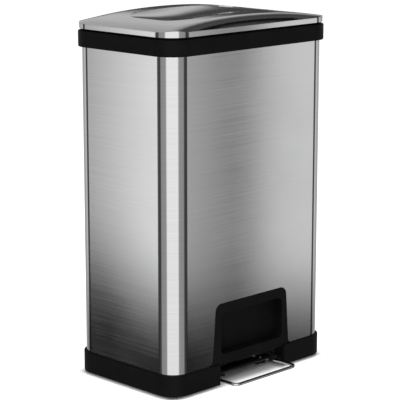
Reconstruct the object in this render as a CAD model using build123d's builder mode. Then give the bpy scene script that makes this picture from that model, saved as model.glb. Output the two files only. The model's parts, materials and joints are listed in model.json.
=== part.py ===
from build123d import *
import math
import os

os.makedirs("parts", exist_ok=True)

# Millimetres, +Z up, the front of the bin faces -Y. The origin lies on the floor under the middle of
# the whole footprint, pedal and hinge housing included, so the body stands a little behind it.

# The steel body
body_y = 9.0
body_width = 386.0
body_depth = 242.0
body_corner = 35.0
shell_thick = 0.6
shell_bottom = 22.0
shell_top = 605.0
front_y = body_y - body_depth / 2
back_y = body_y + body_depth / 2
shell_in_y = back_y - shell_thick

# Base, feet and deck
foot_height = 5.0
base_outset = 4.3
base_top = 42.0
deck_low = 46.0
deck_top = 49.0
notch_half = 82.0
notch_top = 40.0
lining_thick = 2.5

# Collar and hinge
collar_outset = 7.0
collar_low = 585.0
collar_top = 613.0
ledge_low = 605.0
hole_width = 366.0
hole_front = front_y + 10.0
hole_back = back_y - 18.0
hinge_y = back_y + 13.0
hinge_z = 612.0
pin_radius = 2.5
running_gap = 0.06
housing_back = back_y + 22.0
housing_top = 618.0
knuckle_x = 45.0
knuckle_half = 7.0

# Lid
lid_outset = 4.8
lid_low = 616.5
fold_z = 625.0
crown = 16.5
skin_thick = 1.0
liner_low = 613.4
dish_width = 262.0
dish_depth_y = 146.0
dish_corner = 46.0
dish_drop = 5.6
dish_step = 0.4
lid_angle = 75.0

# Pedal, lever and rod
axle_y = front_y + 17.0
axle_z = 18.5
axle_radius = 3.0
bush_radius = 5.5
wire_radius = 3.0
wire_z = 11.5
wire_front = front_y - 37.0
wire_half = 77.0
wire_bend = 10.0
leg_y = front_y + 33.0
rod_y = back_y - 5.0
rod_radius = 2.5
hook_z = 11.5
link_z = hinge_z - (hinge_y - rod_y) * math.tan(math.radians(lid_angle / 2))
rod_top = link_z - 13.5


def rounded_block(width, depth, corner, low, high, mode=Mode.ADD, middle_y=body_y):
    """Add or cut an upright block with rounded corners, centred left to right."""
    with BuildSketch(Plane.XY.offset(low)) as outline:
        with Locations((0, middle_y)):
            RectangleRounded(width, depth, corner)
    extrude(outline.sketch, amount=high - low, mode=mode)


def box_between(x_low, x_high, y_low, y_high, z_low, z_high, mode=Mode.ADD):
    """Add or cut a plain box between two corners."""
    middle = ((x_low + x_high) / 2, (y_low + y_high) / 2, (z_low + z_high) / 2)
    with Locations(middle):
        Box(x_high - x_low, y_high - y_low, z_high - z_low, mode=mode)


def bar_x(radius, x_low, x_high, y, z, mode=Mode.ADD):
    """Add or cut a round bar that runs left to right."""
    with Locations(Location(((x_low + x_high) / 2, y, z), (0, 90, 0))):
        Cylinder(radius, x_high - x_low, mode=mode)


def bar_y(radius, y_low, y_high, x, z, mode=Mode.ADD):
    """Add or cut a round bar that runs front to back."""
    with Locations(Location((x, (y_low + y_high) / 2, z), (90, 0, 0))):
        Cylinder(radius, y_high - y_low, mode=mode)


def bar_z(radius, z_low, z_high, x, y, mode=Mode.ADD):
    """Add or cut an upright round bar."""
    with Locations((x, y, (z_low + z_high) / 2)):
        Cylinder(radius, z_high - z_low, mode=mode)


# Screw places, shared by the holes and the screws themselves
side_screw_ys = [body_y - 60.0, body_y + 60.0]
base_screw_z = 32.0
collar_screw_z = 596.0
back_screw_xs = [-62.0, -24.0, 24.0, 62.0]
housing_screw_xs = [-60.0, 60.0]
housing_screw_y = front_y + 50.0
cover_screw_xs = [-22.0, 22.0]
cover_screw_y = back_y - 12.0
crank_screw_xs = [-9.0, 9.0]
crank_screw_y = back_y - 12.0
clamp_xs = [-52.0, 52.0]
clamp_screw_ys = [leg_y - 7.0, leg_y + 7.0]
screw_radius = 1.8
foot_xs = [-150.0, 150.0]
foot_ys = [body_y - 84.0, body_y + 84.0]


def side_screw_holes(z, outer_x):
    """Cut the pilot holes of the four screws that point outwards through the two sides."""
    for y in side_screw_ys:
        bar_x(screw_radius, 175.0, outer_x, y, z, mode=Mode.SUBTRACT)
        bar_x(screw_radius, -outer_x, -175.0, y, z, mode=Mode.SUBTRACT)


# ---------------------------------------------------------------- the body that stands on the floor

with BuildPart() as body_shell:
    rounded_block(body_width, body_depth, body_corner, shell_bottom, shell_top)
    rounded_block(
        body_width - 2 * shell_thick,
        body_depth - 2 * shell_thick,
        body_corner - shell_thick,
        shell_bottom,
        shell_top,
        mode=Mode.SUBTRACT,
    )
    # one opening at the front for the pedal and the pocket for the shoe
    box_between(-84, 84, front_y - 2, front_y + 5, shell_bottom, 138, mode=Mode.SUBTRACT)
    # a slot at the back for the crank
    box_between(-9, 9, back_y - 3, back_y + 2, collar_low, shell_top, mode=Mode.SUBTRACT)
    side_screw_holes(base_screw_z, 200.0)
    side_screw_holes(collar_screw_z, 200.0)
    for x in back_screw_xs:
        bar_y(screw_radius, back_y - 4, back_y + 4, x, collar_screw_z, mode=Mode.SUBTRACT)
body_shell.part.label = "body_shell"
export_step(body_shell.part, "parts/body_shell.step")

with BuildPart() as base_ring:
    rounded_block(
        body_width + 2 * base_outset,
        body_depth + 2 * base_outset,
        body_corner + base_outset,
        foot_height,
        base_top,
    )
    # a soft outer edge at the top and at the floor
    fillet(base_ring.faces().sort_by(Axis.Z)[-1].edges(), 1.2)
    fillet(base_ring.faces().sort_by(Axis.Z)[0].edges(), 1.5)
    rounded_block(
        body_width, body_depth, body_corner, shell_bottom, base_top, mode=Mode.SUBTRACT
    )
    # the lining that stands inside the shell and carries the deck
    rounded_block(
        body_width - 2 * shell_thick,
        body_depth - 2 * shell_thick,
        body_corner - shell_thick,
        shell_bottom,
        deck_top,
    )
    rounded_block(
        body_width - 2 * shell_thick - 2 * lining_thick,
        body_depth - 2 * shell_thick - 2 * lining_thick,
        body_corner - shell_thick - lining_thick,
        foot_height,
        deck_low,
        mode=Mode.SUBTRACT,
    )
    # stiffening ribs under the deck, either side of the lever
    for x in [-120, -60, 60, 120]:
        box_between(x - 1, x + 1, body_y - 60, body_y + 116, deck_low - 9, deck_low)
    # notch for the wire pedal
    box_between(-notch_half, notch_half, front_y - 6, front_y + 6, 0, notch_top, mode=Mode.SUBTRACT)
    box_between(-notch_half, notch_half, front_y - 6, front_y, 0, base_top, mode=Mode.SUBTRACT)
    # bearing plates that hold the pedal's axle
    for side in [-1, 1]:
        box_between(
            side * 92 - 2, side * 92 + 2, front_y + 3, axle_y + 9, axle_z - 7, deck_low
        )
    bar_x(axle_radius, -100, 100, axle_y, axle_z, mode=Mode.SUBTRACT)
    # pocket in the back wall and hole in the deck for the rod and the end of the lever
    box_between(-17, 17, back_y - 6, shell_in_y, 0, deck_low, mode=Mode.SUBTRACT)
    box_between(-16, 16, rod_y - 7, shell_in_y, deck_low - 1, deck_top + 1, mode=Mode.SUBTRACT)
    # corner blocks over the feet
    for x in foot_xs:
        for y in foot_ys:
            box_between(x - 18, x + 18, y - 18, y + 18, foot_height, deck_low)
            bar_z(9, foot_height, foot_height + 4, x, y, mode=Mode.SUBTRACT)
    side_screw_holes(base_screw_z, body_width / 2 + 3.5)
    for x in housing_screw_xs:
        bar_z(screw_radius, deck_low - 1, deck_top + 1, x, housing_screw_y, mode=Mode.SUBTRACT)
    for x in cover_screw_xs:
        bar_z(screw_radius, deck_low - 1, deck_top + 1, x, cover_screw_y, mode=Mode.SUBTRACT)
base_ring.part.label = "base_ring"
export_step(base_ring.part, "parts/base_ring.step")

with BuildPart() as rubber_feet:
    for x in foot_xs:
        for y in foot_ys:
            bar_z(9, foot_height, foot_height + 4, x, y)
            with Locations((x, y, 0)):
                Cone(11, 13, foot_height, align=(Align.CENTER, Align.CENTER, Align.MIN))
rubber_feet.part.label = "rubber_feet"
export_step(rubber_feet.part, "parts/rubber_feet.step")

# The black frame round the shoe pocket: it flares towards the floor and ends in two spread feet
frame_top = 149.5
frame_bottom = notch_top
pocket_low = 58.0
pocket_high = 132.0
pocket_half = 78.0
pocket_back = front_y + 16.0
frame_proud = 1.5

with BuildPart() as toe_recess_housing:
    with BuildSketch(Plane.XZ.offset(-(front_y - frame_proud))) as frame_face:
        with BuildLine():
            Line((-81.8, frame_bottom), (81.8, frame_bottom))
            Line((81.8, frame_bottom), (81.8, base_top))
            Line((81.8, base_top), (104, base_top))
            ThreePointArc((104, base_top), (98.4, 45.2), (95.7, 53))
            Line((95.7, 53), (88.4, frame_top))
            Line((88.4, frame_top), (-88.4, frame_top))
            Line((-88.4, frame_top), (-95.7, 53))
            ThreePointArc((-95.7, 53), (-98.4, 45.2), (-104, base_top))
            Line((-104, base_top), (-81.8, base_top))
            Line((-81.8, base_top), (-81.8, frame_bottom))
        make_face()
        fillet(frame_face.vertices().sort_by(Axis.Y)[-2:], 14)
    extrude(amount=-frame_proud)
    fillet(toe_recess_housing.faces().sort_by(Axis.Y)[0].edges(), 0.7)
    box_between(-83.5, 83.5, front_y, front_y + 3, deck_top, 137)
    with BuildSketch(Plane.XZ.offset(-front_y)):
        with Locations((0, (pocket_low + pocket_high) / 2)):
            RectangleRounded(2 * pocket_half + 5, pocket_high - pocket_low + 5, 12.5)
    extrude(amount=-(pocket_back + 2.5 - front_y))
    with BuildSketch(Plane.XZ.offset(-(front_y - frame_proud - 1))):
        with Locations((0, (pocket_low + pocket_high) / 2)):
            RectangleRounded(2 * pocket_half, pocket_high - pocket_low, 10)
    extrude(amount=-(pocket_back - front_y + frame_proud + 1), mode=Mode.SUBTRACT)
    for x in housing_screw_xs:
        box_between(x - 8, x + 8, pocket_back - 6, housing_screw_y + 7, deck_top, deck_top + 3)
        box_between(x - 8, x + 8, pocket_back - 6, pocket_back + 2.5, deck_top, pocket_low)
        bar_z(screw_radius, deck_top - 1, deck_top + 4, x, housing_screw_y, mode=Mode.SUBTRACT)
toe_recess_housing.part.label = "toe_recess_housing"
export_step(toe_recess_housing.part, "parts/toe_recess_housing.step")

hole_middle = (hole_front + hole_back) / 2
hole_depth = hole_back - hole_front

with BuildPart() as top_collar:
    rounded_block(
        body_width + 2 * collar_outset,
        body_depth + 2 * collar_outset,
        body_corner + collar_outset,
        collar_low,
        collar_top,
    )
    fillet(top_collar.faces().sort_by(Axis.Z)[-1].edges(), 2.5)
    fillet(top_collar.faces().sort_by(Axis.Z)[0].edges(), 1.5)
    rounded_block(
        body_width, body_depth, body_corner, collar_low, ledge_low, mode=Mode.SUBTRACT
    )
    rounded_block(
        hole_width, hole_depth, 25, ledge_low, collar_top, mode=Mode.SUBTRACT, middle_y=hole_middle
    )
    # the step that the bucket's rim hangs on
    rounded_block(
        hole_width + 8,
        hole_depth + 8,
        29,
        collar_top - 4,
        collar_top,
        mode=Mode.SUBTRACT,
        middle_y=hole_middle,
    )
    # slot for the crank
    box_between(-8, 8, hole_back - 6, back_y + 9, collar_low, collar_top, mode=Mode.SUBTRACT)
    # two finger dips at the sides, to lift the bucket's rim
    for side in [-1, 1]:
        with Locations((side * (hole_width / 2 + 1), hole_middle, collar_top + 12)):
            Sphere(20, mode=Mode.SUBTRACT)
    side_screw_holes(collar_screw_z, body_width / 2 + 5)
    for x in back_screw_xs:
        bar_y(screw_radius, back_y - 1, back_y + 9, x, collar_screw_z, mode=Mode.SUBTRACT)
top_collar.part.label = "top_collar"
export_step(top_collar.part, "parts/top_collar.step")

with BuildPart() as hinge_housing:
    box_between(-74, 74, back_y + collar_outset, housing_back, 588, housing_top)
    fillet(hinge_housing.edges().filter_by(Axis.Z).sort_by(Axis.Y)[-2:], 8)
    fillet(hinge_housing.faces().sort_by(Axis.Z)[-1].edges().sort_by(Axis.Y)[1:], 1.5)
    # bays for the two knuckles of the lid and for the crank
    for x in [-knuckle_x, knuckle_x]:
        box_between(x - 9, x + 9, back_y + 6, housing_back - 2, 603, housing_top + 1, mode=Mode.SUBTRACT)
    box_between(-8, 8, back_y + 6, housing_back - 2, 590, housing_top + 1, mode=Mode.SUBTRACT)
    bar_x(pin_radius, -68, 68, hinge_y, hinge_z, mode=Mode.SUBTRACT)
    # the housing's front above the collar is cut back, clear of the swinging lid
    box_between(-80, 80, back_y + 6, back_y + 8.4, collar_top, housing_top + 1, mode=Mode.SUBTRACT)
    for x in back_screw_xs:
        bar_y(screw_radius, back_y + 6, housing_back - 4, x, collar_screw_z, mode=Mode.SUBTRACT)
hinge_housing.part.label = "hinge_housing"
export_step(hinge_housing.part, "parts/hinge_housing.step")

with BuildPart() as hinge_pin:
    bar_x(pin_radius, -68, 68, hinge_y, hinge_z)
hinge_pin.part.label = "hinge_pin"
export_step(hinge_pin.part, "parts/hinge_pin.step")

with BuildPart() as back_screws:
    for x in back_screw_xs:
        bar_y(screw_radius, shell_in_y - 2, housing_back - 4, x, collar_screw_z)
        bar_y(3.6, shell_in_y - 2.2, shell_in_y, x, collar_screw_z)
        bar_y(1.2, shell_in_y - 3, shell_in_y - 1.4, x, collar_screw_z, mode=Mode.SUBTRACT)
back_screws.part.label = "back_screws"
export_step(back_screws.part, "parts/back_screws.step")


def side_screws(z, head_x, tip_x):
    """Four pan-head screws that point outwards through the sides."""
    for y in side_screw_ys:
        for side in [-1, 1]:
            near = min(side * head_x, side * tip_x)
            far = max(side * head_x, side * tip_x)
            bar_x(screw_radius, near, far, y, z)
            head = sorted([side * head_x, side * (head_x - 2.2)])
            bar_x(3.6, head[0], head[1], y, z)
            drive = sorted([side * (head_x - 3), side * (head_x - 1)])
            bar_x(1.2, drive[0], drive[1], y, z, mode=Mode.SUBTRACT)


with BuildPart() as base_screws:
    side_screws(base_screw_z, body_width / 2 - shell_thick - lining_thick, body_width / 2 + 3.5)
base_screws.part.label = "base_screws"
export_step(base_screws.part, "parts/base_screws.step")

with BuildPart() as collar_screws:
    side_screws(collar_screw_z, body_width / 2 - shell_thick, body_width / 2 + 5)
collar_screws.part.label = "collar_screws"
export_step(collar_screws.part, "parts/collar_screws.step")

with BuildPart() as housing_screws:
    for x in housing_screw_xs:
        bar_z(screw_radius, deck_low - 3, deck_top + 3, x, housing_screw_y)
        bar_z(3.6, deck_top + 3, deck_top + 5, x, housing_screw_y)
        bar_z(1.2, deck_top + 4, deck_top + 6, x, housing_screw_y, mode=Mode.SUBTRACT)
housing_screws.part.label = "housing_screws"
export_step(housing_screws.part, "parts/housing_screws.step")

# ---------------------------------------------------------------- the lift-out bucket

bucket_floor = 52.0
bucket_rim_z = collar_top - 4
bucket_middle = hole_middle


def bucket_form(inset, low, high):
    """The bucket's outer form made smaller all round by inset; it narrows towards the floor."""
    with BuildSketch(Plane.XY.offset(low)) as floor_outline:
        with Locations((0, bucket_middle + 1)):
            RectangleRounded(336 - 2 * inset, 192 - 2 * inset, 26 - inset)
    with BuildSketch(Plane.XY.offset(high)) as mouth_outline:
        with Locations((0, bucket_middle)):
            RectangleRounded(hole_width - 3 - 2 * inset, hole_depth - 3 - 2 * inset, 24 - inset)
    loft([floor_outline.sketch, mouth_outline.sketch])
    # the front steps back over the shoe pocket and the housing's screws
    box_between(
        -200, 200, front_y - 5, housing_screw_y + 9 + inset, low - 5, pocket_high + 9 + inset,
        mode=Mode.SUBTRACT,
    )


with BuildPart() as bucket_inside:
    bucket_form(2.0, bucket_floor + 2.0, bucket_rim_z + 3)

with BuildPart() as inner_bucket:
    bucket_form(0.0, bucket_floor, bucket_rim_z + 3)
    rounded_block(
        hole_width + 6.4, hole_depth + 6.4, 28.2, bucket_rim_z, bucket_rim_z + 2.4,
        middle_y=bucket_middle,
    )
    add(bucket_inside.part, mode=Mode.SUBTRACT)
    # hand slots, one at each end
    for side in [-1, 1]:
        with BuildSketch(Plane.YZ.offset(side * 150)):
            with Locations((bucket_middle, bucket_rim_z - 32)):
                SlotOverall(96, 26)
        extrude(amount=side * 45, mode=Mode.SUBTRACT)
inner_bucket.part.label = "inner_bucket"
export_step(inner_bucket.part, "parts/inner_bucket.step")

# ---------------------------------------------------------------- rod cover and guides

cover_front = rod_y - 11.0
guide_zs = [120.0, 320.0, 520.0]

with BuildPart() as rod_cover:
    box_between(-15, 15, cover_front, shell_in_y, deck_top, 583)
    box_between(-13, 13, cover_front + 2, shell_in_y + 1, deck_top - 1, 584, mode=Mode.SUBTRACT)
    for x in cover_screw_xs:
        side = math.copysign(1, x)
        edges = sorted([side * 15, side * 29])
        box_between(edges[0], edges[1], cover_screw_y - 7, cover_screw_y + 7, deck_top, deck_top + 2)
        bar_z(screw_radius, deck_top - 1, deck_top + 3, x, cover_screw_y, mode=Mode.SUBTRACT)
rod_cover.part.label = "rod_cover"
export_step(rod_cover.part, "parts/rod_cover.step")

with BuildPart() as cover_screws:
    for x in cover_screw_xs:
        bar_z(screw_radius, deck_low - 3, deck_top + 2, x, cover_screw_y)
        bar_z(3.6, deck_top + 2, deck_top + 4, x, cover_screw_y)
        bar_z(1.2, deck_top + 3, deck_top + 5, x, cover_screw_y, mode=Mode.SUBTRACT)
cover_screws.part.label = "cover_screws"
export_step(cover_screws.part, "parts/cover_screws.step")

with BuildPart() as rod_guides:
    for z in guide_zs:
        box_between(-13, 13, cover_front + 2, shell_in_y, z - 6, z + 6)
        bar_z(rod_radius + running_gap, z - 7, z + 7, 0, rod_y, mode=Mode.SUBTRACT)
rod_guides.part.label = "rod_guides"
export_step(rod_guides.part, "parts/rod_guides.step")

# ---------------------------------------------------------------- pedal axle and its clips

with BuildPart() as pedal_axle:
    bar_x(axle_radius, -98, 98, axle_y, axle_z)
    for x in [-95.5, 95.5]:
        with Locations(Location((x, axle_y, axle_z), (0, 90, 0))):
            Cylinder(axle_radius + 1, 1.0, mode=Mode.SUBTRACT)
            Cylinder(axle_radius - 0.8, 1.0)
pedal_axle.part.label = "pedal_axle"
export_step(pedal_axle.part, "parts/pedal_axle.step")

with BuildPart() as axle_clips:
    for x in [-95.5, 95.5]:
        with Locations(Location((x, axle_y, axle_z), (0, 90, 0))):
            Cylinder(6.5, 1.0)
            Cylinder(axle_radius - 0.8, 1.0, mode=Mode.SUBTRACT)
        box_between(x - 1, x + 1, axle_y - 1.8, axle_y + 1.8, axle_z - 8, axle_z, mode=Mode.SUBTRACT)
axle_clips.part.label = "axle_clips"
export_step(axle_clips.part, "parts/axle_clips.step")

# ---------------------------------------------------------------- the pedal

ear_x = 71.0
plate_low = wire_z + wire_radius
plate_thick = 2.0

with BuildPart() as pedal_wire:
    with BuildLine() as wire_path:
        FilletPolyline(
            (-40, leg_y, wire_z),
            (-wire_half, leg_y, wire_z),
            (-wire_half, wire_front, wire_z),
            (wire_half, wire_front, wire_z),
            (wire_half, leg_y, wire_z),
            (40, leg_y, wire_z),
            radius=wire_bend,
        )
    with BuildSketch(Plane(origin=wire_path.line @ 0, z_dir=wire_path.line % 0)):
        Circle(wire_radius)
    sweep()
pedal_wire.part.label = "pedal_wire"
export_step(pedal_wire.part, "parts/pedal_wire.step")

with BuildPart() as pedal_lever:
    # cross plate over the wire's two short legs
    box_between(-ear_x - 1, ear_x + 1, leg_y - 11, leg_y + 12, plate_low, plate_low + plate_thick)
    # an ear at each end, carried on the axle
    for side in [-1, 1]:
        with BuildSketch(Plane.YZ.offset(side * ear_x - 1)) as ear:
            with BuildLine():
                Line((leg_y + 12, plate_low), (leg_y - 11, plate_low))
                Line((leg_y - 11, plate_low), (axle_y, axle_z - 8.5))
                ThreePointArc((axle_y, axle_z - 8.5), (axle_y - 8.5, axle_z), (axle_y, axle_z + 8.5))
                Line((axle_y, axle_z + 8.5), (leg_y + 12, plate_low + 2))
                Line((leg_y + 12, plate_low + 2), (leg_y + 12, plate_low))
            make_face()
        extrude(amount=2)
    bar_x(bush_radius, -ear_x - 2, ear_x + 2, axle_y, axle_z, mode=Mode.SUBTRACT)
    # room for the flanges of the two bushes
    for side in [-1, 1]:
        flange = sorted([side * (ear_x - 6), side * (ear_x - 1)])
        bar_x(bush_radius + 2.3, flange[0], flange[1], axle_y, axle_z, mode=Mode.SUBTRACT)
    # the long arm, an upturned channel that runs back under the deck
    box_between(-11, 11, leg_y + 5, rod_y - 12, plate_low, plate_low + plate_thick)
    for side in [-1, 1]:
        with BuildSketch(Plane.YZ.offset(side * 10 - 1)):
            with BuildLine():
                Polyline(
                    (leg_y + 12, plate_low),
                    (leg_y + 26, plate_low - 8),
                    (rod_y + 1.5, plate_low - 8),
                    (rod_y + 3.5, plate_low - 6),
                    (rod_y + 3.5, plate_low),
                    (rod_y + 1.5, plate_low + 2),
                    (leg_y + 12, plate_low + 2),
                    close=True,
                )
            make_face()
            with Locations((rod_y - 0.5, hook_z)):
                SlotOverall(8.4, 7.0, mode=Mode.SUBTRACT)
        extrude(amount=2)
    for x in clamp_xs:
        for y in clamp_screw_ys:
            bar_z(screw_radius, plate_low - 1, plate_low + 3, x, y, mode=Mode.SUBTRACT)
pedal_lever.part.label = "pedal_lever"
export_step(pedal_lever.part, "parts/pedal_lever.step")

with BuildPart() as lever_bushes:
    for side in [-1, 1]:
        ends = sorted([side * (ear_x - 4), side * (ear_x + 1)])
        bar_x(bush_radius, ends[0], ends[1], axle_y, axle_z)
        flange = sorted([side * (ear_x - 4), side * (ear_x - 1)])
        bar_x(bush_radius + 2, flange[0], flange[1], axle_y, axle_z)
    bar_x(axle_radius + running_gap, -90, 90, axle_y, axle_z, mode=Mode.SUBTRACT)
lever_bushes.part.label = "lever_bushes"
export_step(lever_bushes.part, "parts/lever_bushes.step")

with BuildPart() as wire_clamps:
    for x in clamp_xs:
        box_between(x - 9, x + 9, leg_y - 10, leg_y + 10, wire_z - wire_radius - 1.2, plate_low)
    bar_x(wire_radius, -90, 90, leg_y, wire_z, mode=Mode.SUBTRACT)
    box_between(-90, 90, leg_y - wire_radius, leg_y + wire_radius, wire_z, plate_low, mode=Mode.SUBTRACT)
    for x in clamp_xs:
        for y in clamp_screw_ys:
            bar_z(screw_radius, 5, plate_low + 1, x, y, mode=Mode.SUBTRACT)
wire_clamps.part.label = "wire_clamps"
export_step(wire_clamps.part, "parts/wire_clamps.step")

with BuildPart() as clamp_screws:
    for x in clamp_xs:
        for y in clamp_screw_ys:
            clamp_low = wire_z - wire_radius - 1.2
            bar_z(screw_radius, clamp_low, plate_low + 6, x, y)
            bar_z(3.0, clamp_low - 1.6, clamp_low, x, y)
            with BuildSketch(Plane.XY.offset(plate_low + plate_thick)):
                with Locations((x, y)):
                    RegularPolygon(3.4, 6)
            extrude(amount=2.6)
clamp_screws.part.label = "clamp_screws"
export_step(clamp_screws.part, "parts/clamp_screws.step")

# ---------------------------------------------------------------- the push rod

with BuildPart() as push_rod:
    with BuildLine() as rod_path:
        FilletPolyline((14.5, rod_y, hook_z), (0, rod_y, hook_z), (0, rod_y, rod_top), radius=6)
    with BuildSketch(Plane(origin=rod_path.line @ 0, z_dir=rod_path.line % 0)):
        Circle(rod_radius)
    sweep()
push_rod.part.label = "push_rod"
export_step(push_rod.part, "parts/push_rod.step")

with BuildPart() as rod_end:
    bar_z(4.2, link_z - 26, link_z - 14, 0, rod_y)
    box_between(-5.5, 5.5, rod_y - 4, rod_y + 4, link_z - 20, link_z)
    bar_x(4, -5.5, 5.5, rod_y, link_z)
    box_between(-2.6, 2.6, rod_y - 5, rod_y + 5, rod_top, link_z + 5, mode=Mode.SUBTRACT)
    bar_z(rod_radius, link_z - 27, rod_top, 0, rod_y, mode=Mode.SUBTRACT)
    bar_x(2.0, -6, 6, rod_y, link_z, mode=Mode.SUBTRACT)
rod_end.part.label = "rod_end"
export_step(rod_end.part, "parts/rod_end.step")

with BuildPart() as link_pin:
    bar_x(2.0, -6.2, 6.2, rod_y, link_z)
    bar_x(3.0, 5.5, 6.4, rod_y, link_z)
link_pin.part.label = "link_pin"
export_step(link_pin.part, "parts/link_pin.step")

# ---------------------------------------------------------------- the lid

lid_half_x = body_width / 2 + lid_outset
lid_half_y = body_depth / 2 + lid_outset


def dome_height(x, y):
    """Height of the lid's pressed top: arched left to right, flat front to back with rolled edges."""
    across = 1 - abs(x / lid_half_x) ** 2.2
    along = 1 - abs((y - body_y) / lid_half_y) ** 22
    return fold_z + crown * across * along


def dish_height(x, y):
    """Height of the long shallow dish pressed down into the lid's top."""
    across = 1 - (2 * x / dish_width) ** 4
    along = 1 - (2 * (y - body_y) / dish_depth_y) ** 2
    arch = crown * (1 - abs(x / lid_half_x) ** 2.2)
    return fold_z + arch - dish_step - dish_drop * across * along


def surface_over(height_at, half_x, half_y, drop, steps):
    """A smooth face through the heights of a formula, over a rectangle round the body's middle."""
    rows = []
    for i in range(steps + 1):
        x = half_x * (2 * i / steps - 1)
        row = []
        for j in range(steps + 1):
            y = body_y + half_y * (2 * j / steps - 1)
            row.append(Vector(x, y, height_at(x, y) - drop))
        rows.append(row)
    return Face.make_surface_from_array_of_points(rows, tol=0.02)


def dish_cutter(drop):
    """The block above the dish, which is cut away from the lid's top."""
    above_dish = surface_over(dish_height, dish_width / 2 + 3, dish_depth_y / 2 + 3, drop, 24)
    with BuildPart() as cutter:
        extrude(above_dish, amount=40, dir=(0, 0, 1))
        rounded_block(dish_width, dish_depth_y, dish_corner, 600, 700, mode=Mode.INTERSECT)
    return cutter.part


def lid_form(inset, drop, low, dish):
    """The lid's solid outer form, smaller all round by inset and lower on top by drop."""
    rounded_block(
        2 * (lid_half_x - inset), 2 * (lid_half_y - inset), body_corner + lid_outset - inset, low, 660
    )
    above_dome = surface_over(dome_height, lid_half_x + 0.2, lid_half_y + 0.2, drop, 60)
    extrude(above_dome, amount=60, dir=(0, 0, 1), mode=Mode.SUBTRACT)
    add(dish, mode=Mode.SUBTRACT)


outer_dish = dish_cutter(0)
inner_dish = dish_cutter(skin_thick)

with BuildPart() as lid_inside:
    lid_form(skin_thick, skin_thick, lid_low - 1, inner_dish)

with BuildPart() as fold_groove:
    rounded_block(
        2 * lid_half_x + 4, 2 * lid_half_y + 4, body_corner + lid_outset + 2, fold_z - 0.9, fold_z
    )
    rounded_block(
        2 * lid_half_x - 1.2, 2 * lid_half_y - 1.2, body_corner + lid_outset - 0.6, fold_z - 0.9, fold_z,
        mode=Mode.SUBTRACT,
    )

with BuildPart() as lid_skin:
    lid_form(0, 0, lid_low, outer_dish)
    # the fine groove where the top is folded over the upright band
    add(fold_groove.part, mode=Mode.SUBTRACT)
    add(lid_inside.part, mode=Mode.SUBTRACT)
lid_skin.part.label = "lid_skin"
export_step(lid_skin.part, "parts/lid_skin.step")

with BuildPart() as lid_liner:
    rounded_block(body_width - 4, body_depth - 4, body_corner - 2, liner_low, lid_low + 0.5)
    rounded_block(
        2 * (lid_half_x - skin_thick),
        2 * (lid_half_y - skin_thick),
        body_corner + lid_outset - skin_thick,
        lid_low + 0.5,
        lid_low + 3,
    )
    # the middle is raised, which stiffens the liner and clears the bucket's mouth
    rounded_block(
        hole_width - 30, hole_depth - 30, 20, liner_low, liner_low + 2.5, mode=Mode.SUBTRACT,
        middle_y=hole_middle,
    )
    for x in [-knuckle_x, knuckle_x]:
        box_between(x - knuckle_half, x + knuckle_half, back_y - 4, hinge_y, liner_low, lid_low - 0.4)
        bar_x(5.5, x - knuckle_half, x + knuckle_half, hinge_y, hinge_z)
        bar_x(pin_radius + running_gap, x - 8, x + 8, hinge_y, hinge_z, mode=Mode.SUBTRACT)
    # seat for the crank's foot
    box_between(-15, 15, back_y - 20, back_y - 4, liner_low, liner_low + 2, mode=Mode.SUBTRACT)
    box_between(-2.3, 2.3, back_y - 20, back_y, liner_low, liner_low + 2, mode=Mode.SUBTRACT)
    for x in crank_screw_xs:
        bar_z(screw_radius, liner_low, lid_low + 2.2, x, crank_screw_y, mode=Mode.SUBTRACT)
    for x in [-165, 165]:
        for y in [body_y - 100, body_y + 100]:
            bar_z(5, liner_low, liner_low + 1.5, x, y, mode=Mode.SUBTRACT)
lid_liner.part.label = "lid_liner"
export_step(lid_liner.part, "parts/lid_liner.step")

with BuildPart() as lid_bumpers:
    for x in [-165, 165]:
        for y in [body_y - 100, body_y + 100]:
            bar_z(5, collar_top + 0.1, liner_low + 1.5, x, y)
lid_bumpers.part.label = "lid_bumpers"
export_step(lid_bumpers.part, "parts/lid_bumpers.step")

reach = hinge_y - rod_y
slot_near = reach - 0.7
slot_half = 3.3
arm_tip = reach / math.cos(math.radians(lid_angle / 2)) + 2.3
arm_plane = Plane(
    origin=(-2, hinge_y, hinge_z),
    x_dir=(0, -math.cos(math.radians(lid_angle / 2)), -math.sin(math.radians(lid_angle / 2))),
    z_dir=(1, 0, 0),
)

with BuildPart() as lid_crank:
    # the forked arm, set half the lid's swing below level, that holds the link pin loosely
    with BuildSketch(arm_plane):
        Circle(6)
        with Locations((arm_tip / 2, 0)):
            RectangleRounded(arm_tip, 11.6, 2)
    extrude(amount=4)
    # the web and the foot that is screwed to the liner
    box_between(-2, 2, back_y - 18, hinge_y, liner_low - 1, liner_low + 2)
    box_between(-14.5, 14.5, back_y - 19.5, back_y - 4.5, liner_low, liner_low + 2)
    with BuildSketch(arm_plane):
        with Locations((slot_near + 10, 0)):
            SlotCenterToCenter(20, 2 * slot_half)
    extrude(amount=4, mode=Mode.SUBTRACT)
    bar_x(pin_radius + running_gap, -3, 3, hinge_y, hinge_z, mode=Mode.SUBTRACT)
    for x in crank_screw_xs:
        bar_z(screw_radius, liner_low - 1, liner_low + 3, x, crank_screw_y, mode=Mode.SUBTRACT)
lid_crank.part.label = "lid_crank"
export_step(lid_crank.part, "parts/lid_crank.step")

with BuildPart() as crank_screws:
    for x in crank_screw_xs:
        bar_z(screw_radius, liner_low, lid_low + 2.2, x, crank_screw_y)
        bar_z(2.6, liner_low - 0.3, liner_low, x, crank_screw_y)
crank_screws.part.label = "crank_screws"
export_step(crank_screws.part, "parts/crank_screws.step")
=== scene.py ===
# %% [markdown]
# # A pedal bin in brushed steel
#
# The solids come from the drawing office already: every sheet, moulding, screw and rod is a named object
# in metres, standing where it belongs. What is left is the part a customer sees. This lesson gives each
# piece the surface it would leave the factory with, and lights the bin the way a catalogue studio
# lights steel.

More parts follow.
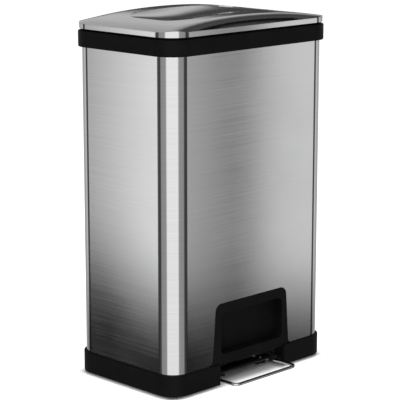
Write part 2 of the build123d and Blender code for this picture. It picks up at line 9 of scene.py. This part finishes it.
# %% Load the frame and measure it
import bpy
import bmesh
import json
import math
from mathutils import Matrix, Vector


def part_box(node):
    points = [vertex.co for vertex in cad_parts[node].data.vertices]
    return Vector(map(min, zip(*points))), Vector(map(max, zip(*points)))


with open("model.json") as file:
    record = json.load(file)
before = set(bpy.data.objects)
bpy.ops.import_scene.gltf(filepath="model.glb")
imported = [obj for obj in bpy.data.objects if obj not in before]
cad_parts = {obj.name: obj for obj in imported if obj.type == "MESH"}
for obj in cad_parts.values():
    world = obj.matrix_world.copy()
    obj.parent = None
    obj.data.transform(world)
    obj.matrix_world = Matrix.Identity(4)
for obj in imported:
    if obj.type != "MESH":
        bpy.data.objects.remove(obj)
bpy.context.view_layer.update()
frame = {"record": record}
bodies = frame["record"]["behaviour"]["bodies"]
print("bodies:", {name: len(nodes) for name, nodes in bodies.items()})


def corners(node):
    low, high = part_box(node)
    return Vector(low), Vector(high)


shell_low, shell_high = corners("body_shell")
middle_y = (shell_low.y + shell_high.y) / 2
print("shell", tuple(round(v, 4) for v in shell_low), tuple(round(v, 4) for v in shell_high))

# %% [markdown]
# ## Small helpers for materials
#
# Every finish here is a Principled shader fed by a few noise textures in object space. Object space
# suits a machine-made thing: the grain keeps one scale on every piece, and brushing runs in the
# direction that the belt ran. A helper that wires one noise through a stretch is enough for nearly
# all of it, because brushing, moulding grain and fingerprints are all noises of different shapes.

# %% Material helpers
def new_material(name):
    material = bpy.data.materials.new(name)
    material.use_nodes = True
    tree = material.node_tree
    shader = tree.nodes["Principled BSDF"]
    return material, tree, shader


def stretched_noise(tree, stretch, scale, detail=4.0, rough=0.55):
    """A noise in object space, squeezed by the three factors in stretch."""
    place = tree.nodes.new("ShaderNodeTexCoord")
    mapping = tree.nodes.new("ShaderNodeMapping")
    mapping.inputs["Scale"].default_value = stretch
    noise = tree.nodes.new("ShaderNodeTexNoise")
    noise.inputs["Scale"].default_value = scale
    noise.inputs["Detail"].default_value = detail
    noise.inputs["Roughness"].default_value = rough
    tree.links.new(place.outputs["Object"], mapping.inputs["Vector"])
    tree.links.new(mapping.outputs["Vector"], noise.inputs["Vector"])
    return noise.outputs["Fac"]


def spread(tree, value, low, high, from_low=0.3, from_high=0.7):
    """Map a noise's middle range onto low to high."""
    node = tree.nodes.new("ShaderNodeMapRange")
    node.inputs["From Min"].default_value = from_low
    node.inputs["From Max"].default_value = from_high
    node.inputs["To Min"].default_value = low
    node.inputs["To Max"].default_value = high
    tree.links.new(value, node.inputs["Value"])
    return node.outputs["Result"]


def two_tone(tree, value, dark, light):
    """Colour that wanders between two close tones."""
    ramp = tree.nodes.new("ShaderNodeValToRGB")
    ramp.color_ramp.elements[0].position = 0.3
    ramp.color_ramp.elements[0].color = (*dark, 1)
    ramp.color_ramp.elements[1].position = 0.7
    ramp.color_ramp.elements[1].color = (*light, 1)
    tree.links.new(value, ramp.inputs["Fac"])
    return ramp.outputs["Color"]


def bump(tree, shader, value, strength, distance, rounding=0.0):
    """Bump from a noise; rounding also softens every edge of the mesh by that radius."""
    node = tree.nodes.new("ShaderNodeBump")
    node.inputs["Strength"].default_value = strength
    node.inputs["Distance"].default_value = distance
    tree.links.new(value, node.inputs["Height"])
    if rounding:
        bevel = tree.nodes.new("ShaderNodeBevel")
        bevel.samples = 4
        bevel.inputs["Radius"].default_value = rounding
        tree.links.new(bevel.outputs["Normal"], node.inputs["Normal"])
    tree.links.new(node.outputs["Normal"], shader.inputs["Normal"])


# %% [markdown]
# ## Brushed steel
#
# The sheet is passed under an abrasive belt before it is folded, so the scratches run level round the
# body and along the lid. Fine grooves scatter light across their own direction: a lamp is drawn out
# into a tall streak but stays narrow from side to side. That is what anisotropy does, so the tangent
# is set across the grooves. The groove noise is very fine in one direction and very long in the other,
# and drives roughness and a faint bump; a second, slow noise is the film of handling.

# %% Brushed steel
def brushed_steel(name, stretch, axis, tone, rough_low, rough_high, turn):
    material, tree, shader = new_material(name)
    shader.inputs["Metallic"].default_value = 1.0
    shader.inputs["Anisotropic"].default_value = 0.4
    shader.inputs["Anisotropic Rotation"].default_value = turn
    tangent = tree.nodes.new("ShaderNodeTangent")
    tangent.direction_type = "RADIAL"
    tangent.axis = axis
    tree.links.new(tangent.outputs["Tangent"], shader.inputs["Tangent"])
    grooves = stretched_noise(tree, stretch, 900.0, 3.0, 0.7)
    film = stretched_noise(tree, (1, 1, 1), 7.0, 3.0)
    shade = two_tone(tree, grooves, [t * 0.95 for t in tone], [min(t * 1.04, 1) for t in tone])
    tree.links.new(shade, shader.inputs["Base Color"])
    mix = tree.nodes.new("ShaderNodeMath")
    mix.operation = "ADD"
    tree.links.new(spread(tree, grooves, rough_low, rough_high), mix.inputs[0])
    tree.links.new(spread(tree, film, -0.012, 0.02), mix.inputs[1])
    tree.links.new(mix.outputs["Value"], shader.inputs["Roughness"])
    bump(tree, shader, grooves, 0.012, 0.00002)
    return material


steel_tone = (0.69, 0.69, 0.695)
steel_body = brushed_steel("steel_brushed_level", (0.004, 0.004, 1.0), "Z", steel_tone, 0.07, 0.10, 0.25)
steel_lid = brushed_steel("steel_brushed_along", (0.004, 1.0, 1.0), "X", steel_tone, 0.06, 0.09, 0.0)
print("made", steel_body.name, "and", steel_lid.name)

# %% [markdown]
# ## Black mouldings
#
# The base, the frame round the shoe pocket, the collar and the hinge housing are moulded in black
# plastic from a spark-eroded tool. The tool leaves a fine even grain, which is a small cell noise in
# the bump and a little change in roughness. Mould edges are never knife sharp, so the shader also
# rounds each edge by half a millimetre.

# %% Black mouldings
def moulded(name, dark, light, rough_low, rough_high, grain=1500.0, depth=0.00005, rounding=0.0006):
    material, tree, shader = new_material(name)
    tone = stretched_noise(tree, (1, 1, 1), 30.0, 4.0)
    tree.links.new(two_tone(tree, tone, dark, light), shader.inputs["Base Color"])
    fine = stretched_noise(tree, (1, 1, 1), grain, 2.0, 0.6)
    tree.links.new(spread(tree, tone, rough_low, rough_high), shader.inputs["Roughness"])
    shader.inputs["Specular IOR Level"].default_value = 0.08
    bump(tree, shader, fine, 0.25, depth, rounding)
    return material


black_base = moulded("moulded_black_base", (0.003,) * 3, (0.005,) * 3, 0.46, 0.60)
black_collar = moulded("moulded_black_collar", (0.0028,) * 3, (0.0045,) * 3, 0.42, 0.55)
black_liner = moulded("moulded_black_liner", (0.010,) * 3, (0.014,) * 3, 0.5, 0.62)
grey_bucket = moulded("moulded_grey_bucket", (0.050, 0.051, 0.054), (0.062, 0.063, 0.066), 0.42, 0.55)
guide_white = moulded("moulded_natural", (0.62, 0.61, 0.57), (0.70, 0.69, 0.65), 0.34, 0.46)
rubber_black = moulded("rubber_black", (0.012,) * 3, (0.020,) * 3, 0.72, 0.86, 700.0, 0.0001)
print("mouldings ready")

# %% [markdown]
# ## Chrome, zinc and screws
#
# The wire pedal is bent first and chromed after, so its finish is continuous round the bends, bright,
# with only a breath of haze and a slight orange-peel from the plating bath. The lever, crank, rod and
# screws are zinc plated: greyer, with the spangle that plating leaves.

# %% Chrome and zinc
def plated(name, dark, light, rough_low, rough_high, grain, depth, rounding=0.0):
    material, tree, shader = new_material(name)
    shader.inputs["Metallic"].default_value = 1.0
    mottled = stretched_noise(tree, (1, 1, 1), grain, 4.0)
    tree.links.new(two_tone(tree, mottled, dark, light), shader.inputs["Base Color"])
    tree.links.new(spread(tree, mottled, rough_low, rough_high), shader.inputs["Roughness"])
    bump(tree, shader, mottled, 0.15, depth, rounding)
    return material


chrome = plated("chromed_wire", (0.72, 0.73, 0.74), (0.80, 0.80, 0.81), 0.06, 0.13, 120.0, 0.00003)
zinc = plated("zinc_plated", (0.46, 0.47, 0.50), (0.60, 0.61, 0.63), 0.26, 0.40, 260.0, 0.00004, 0.0004)
black_coat = moulded("black_powder_coat", (0.006,) * 3, (0.010,) * 3, 0.38, 0.50, 900.0, 0.00006)
screw_zinc = plated("zinc_screws", (0.42, 0.42, 0.44), (0.55, 0.55, 0.56), 0.22, 0.34, 500.0, 0.00003, 0.0003)

finishes = {
    "brushed_body": steel_body,
    "brushed_lid": steel_lid,
    "black_base": black_base,
    "black_frame": black_base,
    "black_collar": black_collar,
    "black_liner": black_liner,
    "white_guides": guide_white,
    "grey_bucket": grey_bucket,
    "rubber": rubber_black,
    "chromed_wire": chrome,
    "zinc_plate": zinc,
    "black_coat": black_coat,
    "zinc_rod": zinc,
    "screw_steel": screw_zinc,
}

for entry in frame["record"]["subparts"]:
    node = bpy.data.objects.get(entry["node"])
    material = finishes[entry["material_slot"]]
    node.data.materials.clear()
    node.data.materials.append(material)

# %% [markdown]
# ## The studio
#
# Steel shows its room, so the room is designed as carefully as the bin. The sky here is a ring of
# soft panels described by two numbers, the bearing round the bin and the height above the horizon.
# A panel stands beside the camera, grey flats beside it, black flags after those, and long bright
# panels off to the sides. The flats of the body mirror the side panels, and the rounded corner sweeps
# past all of them, which draws the dark and light stripes that make a corner read as round. Below the
# horizon the side panels end in a dark skirting, so the steel darkens towards the floor, and under the
# skirting a grey floor cloth keeps the steel alive when it is looked down on.

# %% Camera bearing and sky ring
world = bpy.data.worlds.new("studio_ring")
bpy.context.scene.world = world
world.use_nodes = True
sky = world.node_tree
sky.nodes.clear()


def sky_math(operation, first, second=None):
    node = sky.nodes.new("ShaderNodeMath")
    node.operation = operation
    for index, item in enumerate((first, second)):
        if item is None:
            continue
        if isinstance(item, (int, float)):
            node.inputs[index].default_value = item
        else:
            sky.links.new(item, node.inputs[index])
    return node.outputs["Value"]


def sky_ramp(value, stops):
    """Turn a 0 to 1 value into a brightness; one ramp holds thirty stops at most."""
    node = sky.nodes.new("ShaderNodeValToRGB")
    ramp = node.color_ramp
    ramp.interpolation = "LINEAR"
    for place, level in stops:
        spot = ramp.elements.new(place)
        spot.color = (level, level, level, 1)
    ramp.elements.remove(ramp.elements[0])
    ramp.elements.remove(ramp.elements[-1])
    sky.links.new(value, node.inputs["Fac"])
    return node.outputs["Color"]


look = sky.nodes.new("ShaderNodeTexCoord")
parts = sky.nodes.new("ShaderNodeSeparateXYZ")
sky.links.new(look.outputs["Generated"], parts.inputs["Vector"])
height = sky_math("ARCSINE", parts.outputs["Z"])
toward = 1 / math.sqrt(2)
ahead = sky_math("ADD", sky_math("MULTIPLY", parts.outputs["X"], -toward),
                 sky_math("MULTIPLY", parts.outputs["Y"], -toward))
aside = sky_math("ADD", sky_math("MULTIPLY", parts.outputs["X"], toward),
                 sky_math("MULTIPLY", parts.outputs["Y"], -toward))
bearing = sky_math("ARCTAN2", aside, ahead)
turn = sky_math("ADD", sky_math("DIVIDE", bearing, 2 * math.pi), 0.5)


def at(degrees):
    """Place of a bearing on the ramp: 0 is behind the camera, plus is round to the front face."""
    return 0.5 + degrees / 360


panels = sky_ramp(turn, [
    (at(-113), 0.45), (at(-108), 0.04), (at(-101), 0.04), (at(-97), 0.18), (at(-93.6), 0.28),
    (at(-92.5), 0.50), (at(-91.7), 0.62), (at(-86), 0.62), (at(-83), 0.05), (at(-70), 0.03),
    (at(-64), 0.20), (at(-36), 0.22), (at(-30), 0.64), (at(30), 0.64), (at(36), 0.22),
    (at(64), 0.20), (at(70), 0.03), (at(83), 0.04), (at(85.5), 0.36), (at(89.5), 0.34),
    (at(90.3), 0.22), (at(91.2), 0.08), (at(92.0), 0.20), (at(92.9), 0.50), (at(93.5), 0.52),
    (at(97), 0.30), (at(101), 0.04), (at(108), 0.04), (at(113), 0.45),
])
levels = sky_math("ADD", sky_math("DIVIDE", height, math.pi), 0.5)


def up(degrees):
    """Place of a height above the horizon on the ramp."""
    return 0.5 + degrees / 180


front_fade = sky_ramp(levels, [
    (up(-60), 0.75), (up(-30), 0.60), (up(-24), 0.55), (up(-19), 0.95), (up(-10), 1.0), (up(20), 1.0),
    (up(40), 0.4),
])
# the left panel's lower edge slopes, so that side darkens a little sooner towards the back
slope = sky_ramp(turn, [(at(-100), 0.0), (at(-94), 2.0 / 180), (at(-91.7), 0.0), (at(-90), 0.0)])
side_fade = sky_ramp(sky_math("SUBTRACT", levels, slope), [
    (up(-60), 0.95), (up(-32), 0.85), (up(-25), 0.55), (up(-21), 0.04), (up(-18), 0.0), (up(-17), 0.03),
    (up(-16.2), 0.25), (up(-15), 0.75), (up(-13.8), 1.0), (up(2), 1.0), (up(8), 0.14), (up(50), 0.10),
    (up(65), 0.5), (up(90), 0.5),
])
back_fade = sky_ramp(levels, [
    (up(-12), 0.55), (up(-4), 0.55), (up(-1), 0.25), (up(1), 0.07), (up(7), 0.07), (up(9), 0.16),
    (up(11.5), 0.50), (up(13.5), 0.72), (up(16), 0.72), (up(20), 0.50), (up(28), 0.30), (up(32), 0.20),
    (up(38), 0.08), (up(50), 0.10), (up(65), 0.5), (up(90), 0.5),
])
beside = sky_ramp(turn, [(at(-84), 1.0), (at(-76), 0.0), (at(76), 0.0), (at(84), 1.0)])
behind = sky_ramp(turn, [
    (at(-179), 1.0), (at(-140), 1.0), (at(-105), 0.0), (at(105), 0.0), (at(140), 1.0), (at(179), 1.0),
])


def sky_mix(share, first, second):
    node = sky.nodes.new("ShaderNodeMix")
    node.data_type = "FLOAT"
    sky.links.new(share, node.inputs[0])
    sky.links.new(first, node.inputs[2])
    sky.links.new(second, node.inputs[3])
    return node.outputs[0]


fade = sky_mix(behind, sky_mix(beside, front_fade, side_fade), back_fade)
panel_power = 1.75
ring = sky_math("MULTIPLY", sky_math("MULTIPLY", panels, fade), panel_power)

rays = sky.nodes.new("ShaderNodeLightPath")
shown = sky.nodes.new("ShaderNodeMix")
shown.data_type = "FLOAT"
shown.inputs[3].default_value = 1.0
sky.links.new(rays.outputs["Is Camera Ray"], shown.inputs[0])
sky.links.new(ring, shown.inputs[2])
# a plain white backdrop is what the camera itself sees
background = sky.nodes.new("ShaderNodeBackground")
sky.links.new(shown.outputs[0], background.inputs["Color"])
background.inputs["Strength"].default_value = 1.0
output = sky.nodes.new("ShaderNodeOutputWorld")
sky.links.new(background.outputs["Background"], output.inputs["Surface"])
print("sky ring ready")

# %% [markdown]
# ## Floor and lamps
#
# The floor is a plain white sheet, big enough to run out of the picture. It stays out of mirror
# reflections, as a product photographer would keep it out with black card, and it glows a little so
# that it stays white under a soft lamp. The glow stops under the bin: this paints a soft contact
# shadow round its foot, and it paints the space under the bin dark.

# %% Floor and lamps
def floor_sheet(half):
    mesh = bpy.data.meshes.new("floor")
    sheet = bmesh.new()
    for x, y in [(-half, -half), (half, -half), (half, half), (-half, half)]:
        sheet.verts.new((x, y, 0))
    sheet.faces.new(sheet.verts)
    sheet.to_mesh(mesh)
    sheet.free()
    thing = bpy.data.objects.new("floor", mesh)
    bpy.context.collection.objects.link(thing)
    return thing


floor = floor_sheet(12.0)
floor_white_painted_shadow, tree, shader = new_material("floor_white_painted_shadow")
patchy = stretched_noise(tree, (1, 1, 1), 2.0)
tree.links.new(two_tone(tree, patchy, (0.86, 0.86, 0.86), (0.88, 0.88, 0.88)), shader.inputs["Base Color"])
shader.inputs["Roughness"].default_value = 0.9
shader.inputs["Specular IOR Level"].default_value = 0.0
shader.inputs["Emission Color"].default_value = (1, 1, 1, 1)


def floor_step(operation, *items):
    """One step of vector arithmetic in the floor's material."""
    node = tree.nodes.new("ShaderNodeVectorMath")
    node.operation = operation
    for index, item in enumerate(items):
        if isinstance(item, tuple):
            node.inputs[index].default_value = item
        else:
            tree.links.new(item, node.inputs[index])
    return node.outputs["Value" if operation == "LENGTH" else 0]


inset = 0.012
half_width = (shell_high.x - shell_low.x) / 2 - inset
half_depth = (shell_high.y - shell_low.y) / 2 - inset
spot = tree.nodes.new("ShaderNodeTexCoord").outputs["Object"]
from_middle = floor_step("ABSOLUTE", floor_step("SUBTRACT", spot, (0.0, middle_y, 0.0)))
outside = floor_step("SUBTRACT", from_middle, (half_width, half_depth, 0.0))
away = floor_step("LENGTH", floor_step("MAXIMUM", outside, (0.0, 0.0, 0.0)))
# the floor's glow is switched off inside the bin's footprint and fades back in over 3 cm: a painted contact
# shadow, and painted shade under the bin
glow_with_painted_shadow = tree.nodes.new("ShaderNodeMapRange")
glow_with_painted_shadow.interpolation_type = "SMOOTHSTEP"
glow_with_painted_shadow.inputs["From Max"].default_value = 0.03
glow_with_painted_shadow.inputs["To Max"].default_value = 0.80
tree.links.new(away, glow_with_painted_shadow.inputs["Value"])
tree.links.new(glow_with_painted_shadow.outputs["Result"], shader.inputs["Emission Strength"])
floor.data.materials.append(floor_white_painted_shadow)
floor.visible_glossy = False


def soft_lamp(name, place, aim, size, power):
    data = bpy.data.lights.new(name, "AREA")
    data.shape = "RECTANGLE"
    data.size, data.size_y = size
    data.energy = power
    lamp = bpy.data.objects.new(name, data)
    lamp.location = place
    lamp.rotation_euler = (Vector(aim) - Vector(place)).to_track_quat("-Z", "Y").to_euler()
    bpy.context.collection.objects.link(lamp)
    lamp.visible_glossy = False
    return lamp


soft_lamp("overhead", (-0.4, -0.6, 3.0), (0, 0, 0.2), (3.0, 3.0), 70.0)
soft_lamp("front_fill", (-2.2, -1.6, 1.6), (0, 0, 0.3), (1.6, 1.6), 14.0)
print("lamps ready")

# %% [markdown]
# ## The camera
#
# A long lens from three metres, a little above the lid, turned to face one corner: the lines stay
# nearly parallel, both faces show well, and the lid is seen as a thin wedge.

# %% Camera
lens_data = bpy.data.cameras.new("catalogue")
lens_data.lens = 149.86
lens_data.sensor_width = 36.0
lens_data.clip_end = 60.0
camera = bpy.data.objects.new("catalogue", lens_data)
camera.location = (-2.0595, middle_y - 2.0489, 0.9294)
camera.rotation_euler = (math.radians(90 - 12.18), 0.0, math.radians(-45.05))
bpy.context.collection.objects.link(camera)
bpy.context.scene.camera = camera
bpy.context.scene.view_settings.view_transform = "Standard"
bpy.context.scene.view_settings.look = "None"
